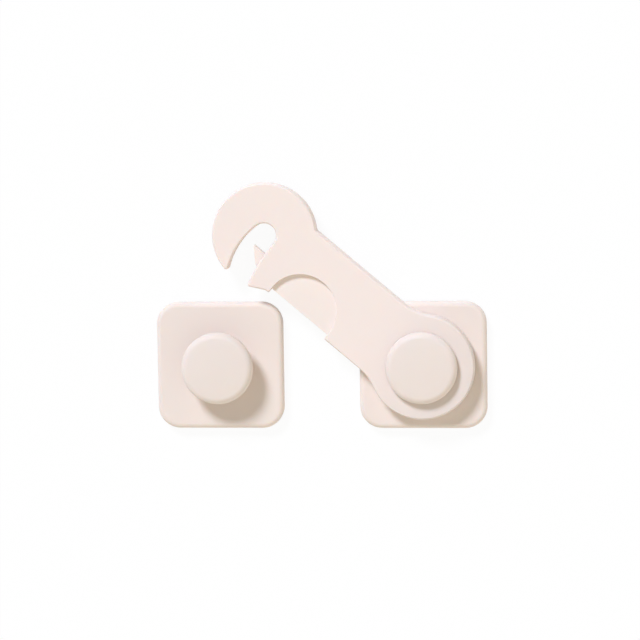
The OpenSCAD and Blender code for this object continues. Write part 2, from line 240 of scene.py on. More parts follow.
def soften(piece):
    """Smooth shading that stops at sharp edges, with flat faces kept flat.

    Weighted normals let the large flat faces rule the points on their rim, so that no
    shading of the rounded edge spills over them.
    """
    piece.data.shade_smooth()
    piece.data.set_sharp_from_angle(angle=SHARP)
    modifier = piece.modifiers.new("weighted normals", "WEIGHTED_NORMAL")
    modifier.keep_sharp = True
    modifier.weight = FLAT_FACES_RULE
    return piece


def place(piece, body, node, material):
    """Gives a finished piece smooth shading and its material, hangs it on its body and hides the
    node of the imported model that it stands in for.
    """
    soften(piece)
    piece.data.materials.clear()
    piece.data.materials.append(material)
    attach(piece, body)
    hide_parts(node)
    print(f"{piece.name}: {len(piece.data.polygons)} faces")
    return piece


# %% [markdown]
# ## Node groups for the finishes
# Moulded plastic is never one flat colour. Its skin carries the fine grain of the spark-eroded
# tool, the melt leaves faint clouds as it flows, and handling leaves a few rubbed streaks. The
# three effects are one node group each, built once and used by every plastic with its own
# values. They read Object coordinates, so the pattern stays on the piece as it moves.

# %% Helpers for node trees
def add_node(tree, kind, **values):
    """A new node with its settings and, by input name or number, its unlinked inputs."""
    node = tree.nodes.new(kind)
    for key, value in values.pop("inputs", {}).items():
        node.inputs[key].default_value = value
    for key, value in values.items():
        setattr(node, key, value)
    return node


def maths(tree, operation, *values):
    """The result of a maths node. Each value is a number or an output to link."""
    node = add_node(tree, "ShaderNodeMath", operation=operation)
    for socket, value in zip(node.inputs, values):
        if isinstance(value, float):
            socket.default_value = value
        else:
            tree.links.new(value, socket)
    return node.outputs[0]


def colour_mix(tree, share, a, b, blend="MIX"):
    """Colour a mixed with b by the share. Each is an output to link, or a colour of four."""
    node = add_node(tree, "ShaderNodeMix", data_type="RGBA", blend_type=blend)
    tree.links.new(share, node.inputs["Factor"])
    for label, value in (("A", a), ("B", b)):
        if isinstance(value, tuple):
            node.inputs[label].default_value = value
        else:
            tree.links.new(value, node.inputs[label])
    return node.outputs["Result"]


def new_material(name):
    """A new material with its node tree and its Principled shader."""
    material = bpy.data.materials.new(name)
    material.use_nodes = True
    return material, material.node_tree, material.node_tree.nodes["Principled BSDF"]


def object_place(tree):
    """Place on the piece in its own coordinates, in metres."""
    return add_node(tree, "ShaderNodeTexCoord").outputs["Object"]


def new_group(name, inputs, outputs):
    """An empty shader node group with named sockets, and its two end nodes."""
    tree = bpy.data.node_groups.new(name, "ShaderNodeTree")
    for label, kind, value in inputs:
        socket = tree.interface.new_socket(label, in_out="INPUT", socket_type=kind)
        socket.default_value = value
    for label, kind in outputs:
        tree.interface.new_socket(label, in_out="OUTPUT", socket_type=kind)
    return tree, tree.nodes.new("NodeGroupInput"), tree.nodes.new("NodeGroupOutput")


def noise(tree, coordinates, size_mm, detail=2.0, stretch=(1, 1, 1), turn=0.0):
    """A noise texture whose features are about size_mm across, stretched and turned at will."""
    mapping = add_node(tree, "ShaderNodeMapping")
    mapping.inputs["Scale"].default_value = stretch
    mapping.inputs["Rotation"].default_value = (0, 0, turn)
    texture = add_node(tree, "ShaderNodeTexNoise",
                       inputs={"Scale": 1 / (size_mm * MM), "Detail": detail})
    tree.links.new(coordinates, mapping.inputs["Vector"])
    tree.links.new(mapping.outputs["Vector"], texture.inputs["Vector"])
    return texture.outputs["Fac"]


def remap(tree, value, low, high, to_low=0.0, to_high=1.0):
    """The value with low to high stretched onto to_low to to_high, and held there outside."""
    ends = {"From Min": low, "From Max": high, "To Min": to_low, "To Max": to_high}
    node = add_node(tree, "ShaderNodeMapRange", interpolation_type="SMOOTHSTEP", inputs=ends)
    tree.links.new(value, node.inputs["Value"])
    return node.outputs["Result"]


# %% Group: clouds in the moulded colour
def make_clouds():
    """Mixes Colour towards Cloud Colour where two sizes of soft noise are high."""
    tree, start, end = new_group(
        "moulded_clouds",
        [("Colour", "NodeSocketColor", (0.8, 0.8, 0.8, 1)),
         ("Cloud Colour", "NodeSocketColor", (0.7, 0.7, 0.7, 1)),
         ("Amount", "NodeSocketFloat", 0.5)],
        [("Colour", "NodeSocketColor")],
    )
    place_on = object_place(tree)
    wide = remap(tree, noise(tree, place_on, 26), 0.35, 0.68)
    near = remap(tree, noise(tree, place_on, 6), 0.3, 0.75)
    both = maths(tree, "MULTIPLY_ADD", near, 0.3, wide)
    share = maths(tree, "MULTIPLY", both, start.outputs["Amount"])
    mixed = colour_mix(tree, share, start.outputs["Colour"], start.outputs["Cloud Colour"])
    tree.links.new(mixed, end.inputs["Colour"])
    return tree


clouds = make_clouds()

# %% Group: spark-eroded grain
def make_grain():
    """Height of a fine leathery grain: small round cells of two sizes, worn flat on top."""
    tree, start, end = new_group(
        "eroded_grain",
        [("Polish", "NodeSocketFloat", 0.6)],
        [("Height", "NodeSocketFloat")],
    )
    place_on = object_place(tree)
    coarse = noise(tree, place_on, 0.45, detail=1.0)
    fine = noise(tree, place_on, 0.16, detail=1.0)
    worn = maths(tree, "MINIMUM", maths(tree, "ADD", coarse, fine), start.outputs["Polish"])
    tree.links.new(worn, end.inputs["Height"])
    return tree


grain = make_grain()

# %% Group: rubbed streaks
def make_rub():
    """Mask of faint streaks along a direction, broken up by a wide noise."""
    tree, start, end = new_group(
        "rubbed_streaks",
        [("Amount", "NodeSocketFloat", 0.5)],
        [("Mask", "NodeSocketFloat")],
    )
    place_on = object_place(tree)
    lines = noise(tree, place_on, 4, detail=3, stretch=(1, 9, 1), turn=0.7)
    streaks = remap(tree, lines, 0.56, 0.74)
    patches = remap(tree, noise(tree, place_on, 14), 0.45, 0.65)
    masked = maths(tree, "MULTIPLY", streaks, patches)
    mask = maths(tree, "MULTIPLY", masked, start.outputs["Amount"])
    tree.links.new(mask, end.inputs["Mask"])
    return tree


rub = make_rub()

# %% [markdown]
# ## The plastics
# The bases and caps are a shade darker and yellower than the arm. This is painted shade: they take
# a darker copy of the arm's cream, for the less light they get. Roughness sits in the middle of the
# scale: the light leaves a soft glow on a rounded edge and no mirror image. The caps are a little
# smoother, for their soft crescent. A little light travels under the skin of such thin, pale walls,
# which subsurface scattering adds.
# The arm is a shade darker round the ring than from the hook to the middle. This is painted shade:
# a slow change of colour along the arm stands in for the weaker light round the ring.

# %% Materials: satin plastics
CLOUD_AMOUNT = 0.6
RUB_AMOUNT = 0.35
GRAIN_POLISH = 1.12
SMOOTHER_WHERE_RUBBED = 0.16
UNDER_SKIN_MM = 1.2


def plastic(name, colour, cloud, rough=0.6, gloss=0.25, grain_depth=0.012):
    """A satin moulded plastic: clouds colour it, streaks polish it, grain bumps it."""
    material, tree, shader = new_material(name)
    colours = add_node(tree, "ShaderNodeGroup", node_tree=clouds)
    colours.inputs["Colour"].default_value = (*colour, 1)
    colours.inputs["Cloud Colour"].default_value = (*cloud, 1)
    colours.inputs["Amount"].default_value = CLOUD_AMOUNT
    streaks = add_node(tree, "ShaderNodeGroup", node_tree=rub)
    streaks.inputs["Amount"].default_value = RUB_AMOUNT
    skin = add_node(tree, "ShaderNodeGroup", node_tree=grain)
    skin.inputs["Polish"].default_value = GRAIN_POLISH
    roughness = remap(tree, streaks.outputs["Mask"], 0.0, 1.0, rough, rough - SMOOTHER_WHERE_RUBBED)
    bump = add_node(tree, "ShaderNodeBump", inputs={"Strength": 0.35, "Distance": grain_depth * MM})
    tree.links.new(colours.outputs["Colour"], shader.inputs["Base Color"])
    tree.links.new(roughness, shader.inputs["Roughness"])
    tree.links.new(skin.outputs["Height"], bump.inputs["Height"])
    tree.links.new(bump.outputs["Normal"], shader.inputs["Normal"])
    shader.inputs["IOR"].default_value = 1.5
    shader.inputs["Specular IOR Level"].default_value = gloss
    shader.inputs["Subsurface Weight"].default_value = 0.25
    shader.inputs["Subsurface Radius"].default_value = (1.0, 0.6, 0.4)
    shader.inputs["Subsurface Scale"].default_value = UNDER_SKIN_MM * MM
    return material


# Painted shade round the ring: the arm's colour is multiplied by this where it gets less light.
RING_PAINTED_SHADE = (0.868, 0.885, 0.885)
PAINTED_SHADE_FULL_AT, PAINTED_SHADE_GONE_AT = -17.0, 24.0


def painted_shade_along_arm(material):
    """Painted shade: multiplies the colour by RING_PAINTED_SHADE beyond the ring, and less and less
    towards the hook.

    The share is 1 at PAINTED_SHADE_FULL_AT and 0 at PAINTED_SHADE_GONE_AT, both in mm from the
    pivot along the arm.
    """
    tree = material.node_tree
    colour_in = tree.nodes["Principled BSDF"].inputs["Base Color"]
    colour_before = colour_in.links[0].from_socket
    along = add_node(tree, "ShaderNodeVectorMath", operation="DOT_PRODUCT",
                     inputs={1: (np.cos(open_turn), np.sin(open_turn), 0)})
    tree.links.new(object_place(tree), along.inputs[0])
    share = remap(tree, along.outputs["Value"], PAINTED_SHADE_FULL_AT * MM, PAINTED_SHADE_GONE_AT * MM, 1.0, 0.0)
    darker = colour_mix(tree, share, colour_before, (*RING_PAINTED_SHADE, 1), "MULTIPLY")
    tree.links.new(darker, colour_in)


# Painted shade: the bases and caps take a darker copy of the arm's cream, for the less light they
# get.
shaded_base_plastic = plastic("base_cream_painted_shade", (0.875, 0.770, 0.712), (0.850, 0.755, 0.700))
shaded_cap_plastic = plastic("cap_cream_painted_shade", (0.860, 0.762, 0.706), (0.840, 0.750, 0.695),
                      rough=0.5, gloss=0.22)
arm_plastic = plastic("arm_cream", (0.940, 0.817, 0.764), (0.915, 0.805, 0.760))
# Painted shade: the arm's colour darkens towards the ring.
painted_shade_along_arm(arm_plastic)
slider_plastic = plastic("slider_cream", (0.935, 0.822, 0.765), (0.915, 0.815, 0.765), rough=0.5)
cover_plastic = plastic("cover_cream", (0.870, 0.775, 0.715), (0.850, 0.760, 0.705),
                        rough=0.5, grain_depth=0.03)

# %% [markdown]
# ## Foam tape and steel
# The tape is a closed-cell foam: tiny cut bubbles pit its edge and shine through its face. The
# screws are zinc plated, with faint turning marks, and the spring is drawn wire. None of it
# shows from the front, but the lock can be turned over.

# %% Materials: foam and metal
def foam_material():
    """White foam: cells from a Voronoi pattern pit the surface, and painted shade darkens the pits
    a little.
    """
    cell_mm, pit_mm = 0.35, 0.05
    material, tree, shader = new_material("white_foam")
    cells = add_node(tree, "ShaderNodeTexVoronoi", inputs={"Scale": 1 / (cell_mm * MM)})
    tree.links.new(object_place(tree), cells.inputs["Vector"])
    depth = remap(tree, cells.outputs["Distance"], 0.0, 0.55)
    # Painted shade: the colour is darker at the bottom of each pit.
    white = colour_mix(tree, depth, (0.70, 0.70, 0.68, 1), (0.83, 0.83, 0.81, 1))
    bump = add_node(tree, "ShaderNodeBump", inputs={"Strength": 0.5, "Distance": pit_mm * MM})
    tree.links.new(white, shader.inputs["Base Color"])
    tree.links.new(depth, bump.inputs["Height"])
    tree.links.new(bump.outputs["Normal"], shader.inputs["Normal"])
    shader.inputs["Roughness"].default_value = 0.85
    return material


def steel_material(name, colour, rough, mark_size):
    """Plated or drawn steel: stretched noise gives the marks of turning or drawing."""
    darker_in_marks, smoother, rougher = 0.82, 0.08, 0.1
    material, tree, shader = new_material(name)
    marks = noise(tree, object_place(tree), mark_size, detail=3, stretch=(1, 1, 6))
    darker = (*(darker_in_marks * c for c in colour), 1)
    tree.links.new(colour_mix(tree, marks, darker, (*colour, 1)), shader.inputs["Base Color"])
    roughness = remap(tree, marks, 0.3, 0.7, rough - smoother, rough + rougher)
    tree.links.new(roughness, shader.inputs["Roughness"])
    shader.inputs["Metallic"].default_value = 1.0
    return material


foam = foam_material()
screw_steel = steel_material("plated_steel", (0.62, 0.62, 0.63), 0.32, 0.3)
spring_steel = steel_material("drawn_wire", (0.58, 0.58, 0.60), 0.28, 0.2)

# %% [markdown]
# ## The bases
# Each base is one square moulding with round corners and a post in its middle. A polar ring
# fits both shapes: at every angle it has the distance to a rounded square, and a circle is the
# square whose corners are as round as it is wide. So one stack runs from the recess behind the
# plate, round its rim, over the face and up the post, and its rings turn from square to round
# on the way.

# %% Shape: base
RING = 320


def round_square(half, corner, count=RING):
    """Polar ring of a rounded square, at even angles.

    Off the corners the distance is half / cos(angle). At a corner it is the far root of the
    circle of radius corner about (b, b), with b = half - corner.
    """
    angle = np.linspace(0, 2 * np.pi, count, endpoint=False)
    c, s = np.abs(np.cos(angle)), np.abs(np.sin(angle))
    b = half - corner
    far, near = np.maximum(c, s), np.minimum(c, s)
    straight = half / far
    root = np.sqrt(np.maximum(b * b * (c + s) ** 2 - 2 * b * b + corner * corner, 0))
    distance = np.where(straight * near <= b, straight, b * (c + s) + root)
    return np.column_stack([distance * np.cos(angle), distance * np.sin(angle)])


def circle(radius, count=RING):
    """Ring of a circle, at the angles of round_square."""
    return round_square(radius, radius, count)


def polar_stack(name, profile, at=(0, 0)):
    """A stack of rounded squares, each (half width, corner radius, height), moved to a place."""
    return stack(name, np.array([lift(round_square(half, corner) + at, height)
                                 for half, corner, height in profile]))


def base_profile():
    """Section of the base as (half width, corner radius, height), from the screw well out."""
    z0, z1, top = base_low[2], base_low[2] + plate_t, base_high[2]
    pad_seat, tape, tape_corner = pad_high[2], pad_half + fit, pad_corner_r + fit
    lip, draft_in, root, face_in, post_edge = 0.25, 0.06, 0.5, 0.2, 0.2
    rim, rim_corner, foot = plate_half - plate_edge_r, plate_corner_r - plate_edge_r, post_r + root

    def drawn_in(curve):
        """The plate's outline drawn in by each inset of a curve of (inset, height)."""
        return [(plate_half - inset, plate_corner_r - inset, z) for inset, z in curve]

    def round_part(curve):
        """Circles, each (radius, height), as rounded squares."""
        return [(radius, radius, z) for radius, z in curve]

    well = round_part([(screw_well_r, screw_seat_z), (screw_well_r, pad_seat)])
    recess = [(tape, tape_corner, pad_seat), (tape, tape_corner, z0)]
    edge = drawn_in(quarter((draft_in, z0 + lip), (lip, z0))[::-1])
    rounding = drawn_in(quarter((0, z1 - plate_edge_r), (plate_edge_r, z1), 10))
    face = [(rim - face_in, rim_corner - face_in, z1)]
    face += [((1 - s) * rim + s * foot, (1 - s) * rim_corner + s * foot, z1)
             for s in np.linspace(0, 1, 6)[1:-1]]
    hollow = quarter((root, z1), (0, z1 + root), hollow=True)
    fillet = round_part([(post_r + a, z) for a, z in hollow])
    post = round_part([(post_r, top - post_edge), (post_r - post_edge, top)])
    socket = round_part([(spigot_r + fit / 2, top), (spigot_r + fit / 2, socket_z0)])
    return well + recess + edge + rounding + face + fillet + post + socket


catch_at = np.array([-reach, 0])
for name, at in (("pivot_base", np.zeros(2)), ("catch_base", catch_at)):
    plate = polar_stack(f"{name}_skin", base_profile(), at)
    place(plate, "bases", name, shaded_base_plastic)

# %% [markdown]
# ## The caps
# A cap is a turned shape: a flat underside, a generous rounding and a face that rises very
# slightly to its middle. The soft crescent of light on the caps comes from this rounding, so it
# gets many rings. Below it, the spigot fills the hollow post.

# %% Shape: cap
def cap_profile():
    """Section of the cap as (radius, radius, height), from the spigot's end to the crown.

    The crown is part of a sphere of radius (r^2 + h^2) / 2h, which rises by h over the radius
    r. The rounding of the edge touches it from inside, so one runs into the other.
    """
    z0, z1 = cap_high[2] - cap_h, cap_high[2]
    dome_r = (cap_r ** 2 + cap_crown ** 2) / (2 * cap_crown)
    dome_z = z1 - dome_r
    edge_x = cap_r - cap_edge_r
    edge_z = dome_z + np.sqrt((dome_r - cap_edge_r) ** 2 - edge_x ** 2)
    meet = np.arccos(edge_x / (dome_r - cap_edge_r))
    lead, lip, lip_bend, last_ring_r = 0.3, 0.2, 0.06, 0.4
    spigot = [(spigot_r - lead, cap_low[2]), (spigot_r, cap_low[2] + lead), (spigot_r, z0)]
    under = [(cap_r - lip, z0), (cap_r - lip_bend, z0 + lip_bend), (cap_r, z0 + lip)]
    rounding = [(edge_x + cap_edge_r * np.cos(a), edge_z + cap_edge_r * np.sin(a))
                for a in np.linspace(0, meet, 15)]
    across = np.linspace(dome_r * np.cos(meet), last_ring_r, 14)[1:]
    crown = [(r, dome_z + np.sqrt(dome_r ** 2 - r ** 2)) for r in across]
    return [(r, r, z) for r, z in spigot + under + rounding + crown]


for name, at in (("pivot_cap", np.zeros(2)), ("catch_cap", catch_at)):
    cap = polar_stack(f"{name}_skin", cap_profile(), at)
    place(cap, "bases", name, shaded_cap_plastic)

# %% [markdown]
# ## The foam pads
# The tape is die-cut, so its corners are round and its edge bulges a little where the foam
# swells after the cut. It fills the shallow recess behind the base.

# %% Shape: adhesive pad
def pad_profile():
    """Section of the pad: its edge is drawn in at both faces and swells halfway between."""
    low, high = pad_low[2], pad_high[2]
    swelling, face_in = 0.12, 0.5
    height = np.linspace(low, high, 9)
    inset = swelling * (2 * (height - low) / (high - low) - 1) ** 2
    curve = [(face_in, low), *zip(inset, height), (face_in, high)]
    return [(pad_half - a, pad_corner_r - a, z) for a, z in curve]


for name, at in (("pivot_adhesive_pad", np.zeros(2)), ("catch_adhesive_pad", catch_at)):
    pad = polar_stack(f"{name}_skin", pad_profile(), at)
    place(pad, "bases", name, foam)

# %% [markdown]
# ## The outline of the arm
# The arm's outline is eleven arcs that touch each other or are joined by straights. Drawing it
# in by some distance is easy with arcs: one that bulges outwards loses that much radius, and a
# hollow one gains it, while the middles stay. That gives matching rings for the rounded edge.
# The arm is worked out lying along +X with its mouth towards +Y, and turned at the end.

# %% Outline: arm
def polar(radius, angle):
    """The point at that distance and angle from the origin."""
    return radius * np.array([np.cos(angle), np.sin(angle)])


def angle_of(vector):
    """The angle of a vector from +X."""
    return np.arctan2(vector[1], vector[0])


def circles_meet(c0, r0, c1, r1):
    """Meeting point of two circles on the left of the way from the second middle to the first."""
    line = c1 - c0
    gap = np.hypot(*line)
    along = (r0 ** 2 - r1 ** 2 + gap ** 2) / (2 * gap)
    side = np.sqrt(r0 ** 2 - along ** 2)
    return c0 + along / gap * line + side / gap * np.array([line[1], -line[0]])


def arcs_path(arcs, inset, lengths):
    """One closed path of arcs, each (middle, radius, from, to, way).

    way is 1 for an arc that bulges outwards and -1 for a hollow one. lengths gives each
    arc's number of points, so that every inset has rings that match.
    """
    runs = []
    for (middle, radius, a0, a1, way), count in zip(arcs, lengths):
        angle = np.linspace(a0, a1, count)
        r = radius - way * inset
        runs.append(np.asarray(middle) + r * np.column_stack([np.cos(angle), np.sin(angle)]))
    return np.concatenate(runs)


def counts_of(arcs):
    """Number of points for each arc, about a STEP apart and at least nine."""
    return [max(9, int(abs(a1 - a0) * radius / STEP)) for middle, radius, a0, a1, way in arcs]


def without_doubles(path):
    """Which points of a closed path differ from the point before them."""
    return np.hypot(*(path - np.roll(path, 1, axis=0)).T) > 1e-6


seat_at = np.array([reach, 0.0])
mouth_at = seat_at - polar(mouth_r - seat_r, -mouth_turn)
back_a = np.arcsin((bar_back + shoulder_r) / (ring_r + shoulder_r))
back_x = (ring_r + shoulder_r) * np.cos(back_a)
front_a = np.arcsin((bar_front + shoulder_r) / (ring_r + shoulder_r))
front_x = (ring_r + shoulder_r) * np.cos(front_a)
crease_x = reach - np.sqrt((head_r + crease_r) ** 2 - (bar_back + crease_r) ** 2)
crease_a = np.arctan2(bar_back + crease_r, reach - crease_x)
tip_at = circles_meet(seat_at, head_r - tip_r, mouth_at, mouth_r + tip_r)
tip_a0 = angle_of(tip_at - seat_at)
tip_a1 = 2 * np.pi + angle_of(mouth_at - tip_at)
jaw_at = polar(jaw_r - tip_r, jaw_turn)
heel_y = bar_front + heel_r
jaw_line = polar(1, np.pi / 2 + jaw_slope) @ jaw_at + tip_r + heel_r
heel_x = (np.cos(jaw_slope) * heel_y - jaw_line) / np.sin(jaw_slope)
ARM_ARCS = [
    ((0, 0), ring_r, front_a, 2 * np.pi - back_a, 1),
    ((back_x, -bar_back - shoulder_r), shoulder_r, np.pi - back_a, np.pi / 2, -1),
    ((crease_x, -bar_back - crease_r), crease_r, np.pi / 2, crease_a, -1),
    (seat_at, head_r, np.pi + crease_a, 2 * np.pi + tip_a0, 1),
    (tip_at, tip_r, tip_a0, tip_a1, 1),
    (mouth_at, mouth_r, tip_a1 - np.pi, -mouth_turn, -1),
    (seat_at, seat_r, -mouth_turn, -np.pi, -1),
    ((0, 0), jaw_r, 0, jaw_turn, 1),
    (jaw_at, tip_r, jaw_turn, np.pi / 2 + jaw_slope, 1),
    ((heel_x, heel_y), heel_r, jaw_slope - np.pi / 2, -np.pi / 2, -1),
    ((front_x, bar_front + shoulder_r), shoulder_r, 1.5 * np.pi, np.pi + front_a, -1),
]
arm_counts = counts_of(ARM_ARCS)
arm_kept = without_doubles(arcs_path(ARM_ARCS, 0, arm_counts))


def arm_outline(inset):
    """The arm's outline drawn in by inset."""
    return arcs_path(ARM_ARCS, inset, arm_counts)[arm_kept]


def turned(piece):
    """Turns a piece from the arm's own lie to the angle at which the arm stands open."""
    count = len(piece.data.vertices)
    points = np.empty(count * 3, np.float32)
    piece.data.vertices.foreach_get("co", points)
    points = points.reshape(-1, 3)
    c, s = np.cos(open_turn), np.sin(open_turn)
    x, y = points[:, 0].copy(), points[:, 1].copy()
    points[:, 0], points[:, 1] = c * x - s * y, s * x + c * y
    piece.data.vertices.foreach_set("co", points.ravel())
    piece.data.update()
    return piece


print(f"arm outline: {len(arm_outline(0))} points")

# %% [markdown]
# ## The arm's shell
# The block has a fine parting line halfway up its wall, where the two halves of the tool meet,
# and each half draws in by a few hundredths so that it leaves the tool. The front edge is
# rounded. Then the tools of the moulder follow: the thumb recess with its own soft rim, the
# open side beside it, the channel of the slider, the window for its nose, the bay of the
# spring, the seat of the cover and the bore.

# %% Shape: arm shell
arm_z0, arm_z1 = arm_low[2], arm_high[2]
channel_z0, channel_z1 = arm_z0 + cover_t, arm_z1 - face_t
edge_w, edge_d = 0.66, 1.2
draft, back_edge = 0.05, 0.2
parting, parting_half, parting_flat = 0.03, 0.04, 0.02
face_step = 0.06


def arm_profile():
    """Section of the block: small back edge, wall with its parting line, round front edge."""
    middle = (arm_z0 + arm_z1 - edge_d) / 2
    back = quarter((draft, arm_z0 + back_edge), (draft + back_edge, arm_z0), 4)[::-1]
    line = [(parting, middle - parting_half), (0, middle - parting_flat),
            (0, middle + parting_flat), (parting, middle + parting_half)]
    front = quarter((draft, arm_z1 - edge_d), (edge_w, arm_z1), 10)
    return back + line + front + [(edge_w + face_step, arm_z1)]


def thumb_path(grow):
    """The recess from above: half a circle whose sides run straight out of the arm."""
    angle = np.linspace(np.pi, 2 * np.pi, 90)
    r = thumb_r + grow
    half = thumb_at + r * np.column_stack([np.cos(angle), np.sin(angle)])
    out = bar_front + 2 * wall
    return np.concatenate([half, [[thumb_at[0] + r, out], [thumb_at[0] - r, out]]])


def box_path(x0, x1, y0, y1):
    """A rectangle as a function of its inset, for use as an outline."""
    return lambda inset: np.array([[x0 + inset, y0 + inset], [x1 - inset, y0 + inset],
                                   [x1 - inset, y1 - inset], [x0 + inset, y1 - inset]])


def block(name, outline, low, high):
    """A plain prism from low to high, used only to cut."""
    return moulding(name, outline, [(0, low), (0, high)])


def disc(radius, low, high, at=(0, 0), count=96):
    """A plain cylinder, used only to cut."""
    return moulding("disc", lambda inset: circle(radius, count) + at, [(0, low), (0, high)])


slider_y1 = bar_front - wall - slide_clear
slider_y0 = slider_y1 - slider_w
slider_x0 = thumb_at[0] - thumb_r - slider_tail
stop_r = jaw_r - wall
channel_x0 = slider_x0 - travel - stop_gap
nose_y0 = post_r + nose_clear
nose_tip = jaw_r + nose_reach
boss_r = post_r + pivot_clear + boss_wall
spring_x0 = boss_r + bay_gap + rib
spring_y = (slider_y0 + slider_y1) / 2
spring_z = (channel_z0 + channel_z1) / 2
bay_half = 1.45
# Cutters reach BEYOND out of the arm, and OVERLAP into the hollow that they open into
BEYOND, OVERLAP = 1.0, 0.1


def channel_path(inset):
    """The slider's channel from above: a rectangle whose far end is an arc about the pivot.

    The channel's walls are straight, so it is the same at every inset.
    """
    y0, y1 = slider_y0 - slide_clear, bar_front - wall
    angle = np.linspace(np.arcsin(y0 / stop_r), np.arcsin(y1 / stop_r), 12)
    end = stop_r * np.column_stack([np.cos(angle), np.sin(angle)])
    return np.concatenate([[[channel_x0, y0]], end, [[channel_x0, y1]]])


def cover_outline(inset):
    """Outline of the cover: arcs cut off where they meet, drawn in from the arm's outline."""
    r_ring, r_head, r_jaw = ring_r - inset, head_r - inset, jaw_r - inset
    r_mouth, r_seat = mouth_r + inset, seat_r + inset
    back, front = bar_back - inset, bar_front - inset
    point = circles_meet(seat_at, r_head, mouth_at, r_mouth)
    corner = circles_meet(np.zeros(2), r_jaw, seat_at, r_head) * (1, -1)
    head_end = 2 * np.pi + angle_of(point - seat_at)
    arcs = [
        ((0, 0), r_ring, np.arcsin(front / r_ring), 2 * np.pi - np.arcsin(back / r_ring), 1),
        (seat_at, r_head, np.pi + np.arcsin(back / r_head), head_end, 1),
        (mouth_at, r_mouth, angle_of(point - mouth_at), -mouth_turn, -1),
        (seat_at, r_seat, -mouth_turn, -np.pi, -1),
        ((0, 0), r_jaw, 0, angle_of(corner), 1),
        (seat_at, r_head, angle_of(corner - seat_at), np.pi - np.arcsin(front / r_head), 1),
    ]
    path = arcs_path(arcs, 0, [150, 110, 40, 60, 40, 20])
    return path[without_doubles(path)]


# The recess with its soft rim, and the open side beside it
rim = 0.12
recess_edge = quarter((0, arm_z1 - rim), (rim, arm_z1), 6)
recess = moulding("recess", thumb_path,
                  [(0, channel_z1 - OVERLAP / 2), *recess_edge, (rim, arm_z1 + BEYOND)])
half_open = thumb_r - fit
side_path = box_path(thumb_at[0] - half_open, thumb_at[0] + half_open,
                     bar_front - wall, bar_front + 2 * BEYOND)
open_side = block("open_side", side_path, arm_z0 - BEYOND, channel_z1 + OVERLAP)

# The channel, the window for the nose and the bay of the spring
channel = block("channel", channel_path, channel_z0 - OVERLAP, channel_z1)
window_path = box_path(stop_r - wall, reach + BEYOND,
                       nose_y0 - slide_clear, nose_y0 + nose_w + slide_clear)
window = block("window", window_path, channel_z0, channel_z1)
bay_path = box_path(spring_x0, channel_x0 + BEYOND / 2, spring_y - bay_half, spring_y + bay_half)
bay = block("bay", bay_path, channel_z0 - OVERLAP, channel_z1)

# The seat of the cover, which leaves the pivot boss standing, and the bore
cover_seat = block("cover_seat", lambda inset: cover_outline(wall), arm_z0 - BEYOND, channel_z0)
carve(cover_seat, [disc(boss_r, arm_z0 - 2 * BEYOND, channel_z0 + BEYOND)])
bore = disc(post_r + pivot_clear, arm_z0 - BEYOND, arm_z1 + BEYOND)

shell = moulding("arm_shell_skin", arm_outline, arm_profile())
carve(shell, [recess, open_side, channel, window, bay, cover_seat, bore])
place(turned(shell), "arm", "arm_shell", arm_plastic)

# %% [markdown]
# ## The slider
# The slider is a flat plate in the channel. Its face is the floor of the thumb recess, and its
# nose stands into the mouth with a straight locking edge and a ramp. A polygon with rounded
# corners describes it: each corner is moved in with its two edges and then replaced by an arc.

# %% Shape: slider
def rounded_polygon(corners, radii, inset, steps=5, least_radius=0.01):
    """A polygon drawn in by inset, with an arc at each corner.

    A corner moves by (n1 + n2) / (1 + n1.n2) times the inset, where n1 and n2 are the inward
    normals of its edges. An arc's radius shrinks by the inset where it bulges outwards.
    """
    before = corners - np.roll(corners, 1, axis=0)
    before /= np.linalg.norm(before, axis=1)[:, None]
    after = np.roll(before, -1, axis=0)
    n1 = np.column_stack([-before[:, 1], before[:, 0]])
    n2 = np.column_stack([-after[:, 1], after[:, 0]])
    dot = (n1 * n2).sum(1)
    moved = corners + inset * (n1 + n2) / (1 + dot)[:, None]
    bulge = np.sign(before[:, 0] * after[:, 1] - before[:, 1] * after[:, 0])
    radius = np.maximum(radii - bulge * inset, least_radius)
    half = np.arccos(np.clip(dot, -1, 1)) / 2
    inward, to_middle = n1 + n2, bulge * radius / np.cos(half)
    middle = moved + to_middle[:, None] * inward / np.linalg.norm(inward, axis=1)[:, None]
    start = np.arctan2(*(-bulge[:, None] * n1).T[::-1])
    share = np.linspace(0, 1, steps + 1)
    angle = start[:, None] + (bulge * 2 * half)[:, None] * share
    ring = np.stack([np.cos(angle), np.sin(angle)], -1) * radius[:, None, None] + middle[:, None]
    return ring.reshape(-1, 2)


def slider_corners():
    """Corners of the slider, with the radius of each, from its tail round by the nose."""
    end_r = stop_r - stop_gap
    nose_y1, bend_y = nose_y0 + nose_w, 0.5
    plain, tight, tip = 0.3, 0.12, 0.18

    def at_y(y):
        """The point of the slider's far end at y, on an arc about the pivot."""
        return np.sqrt(end_r ** 2 - y ** 2), y

    corners, radii = zip(
        ((slider_x0, slider_y0), plain), (at_y(slider_y0), plain), (at_y(bend_y), plain),
        (at_y(nose_y0), tight), ((nose_tip, nose_y0), tip), ((nose_tip - nose_w, nose_y1), plain),
        (at_y(nose_y1), tight), (at_y(slider_y1), plain), ((slider_x0, slider_y1), plain),
    )
    return np.array(corners, float), np.array(radii)


def slider_outline(inset):
    """The slider's outline drawn in by inset."""
    return rounded_polygon(*slider_corners(), inset)


slider_z0, slider_z1 = slider_low[2], slider_high[2]
soft = 0.12
slider_profile = (quarter((0, slider_z0 + soft), (soft, slider_z0), 4)[::-1]
                  + quarter((0, slider_z1 - soft), (soft, slider_z1), 4))
slider = moulding("latch_slider_skin", slider_outline, slider_profile)


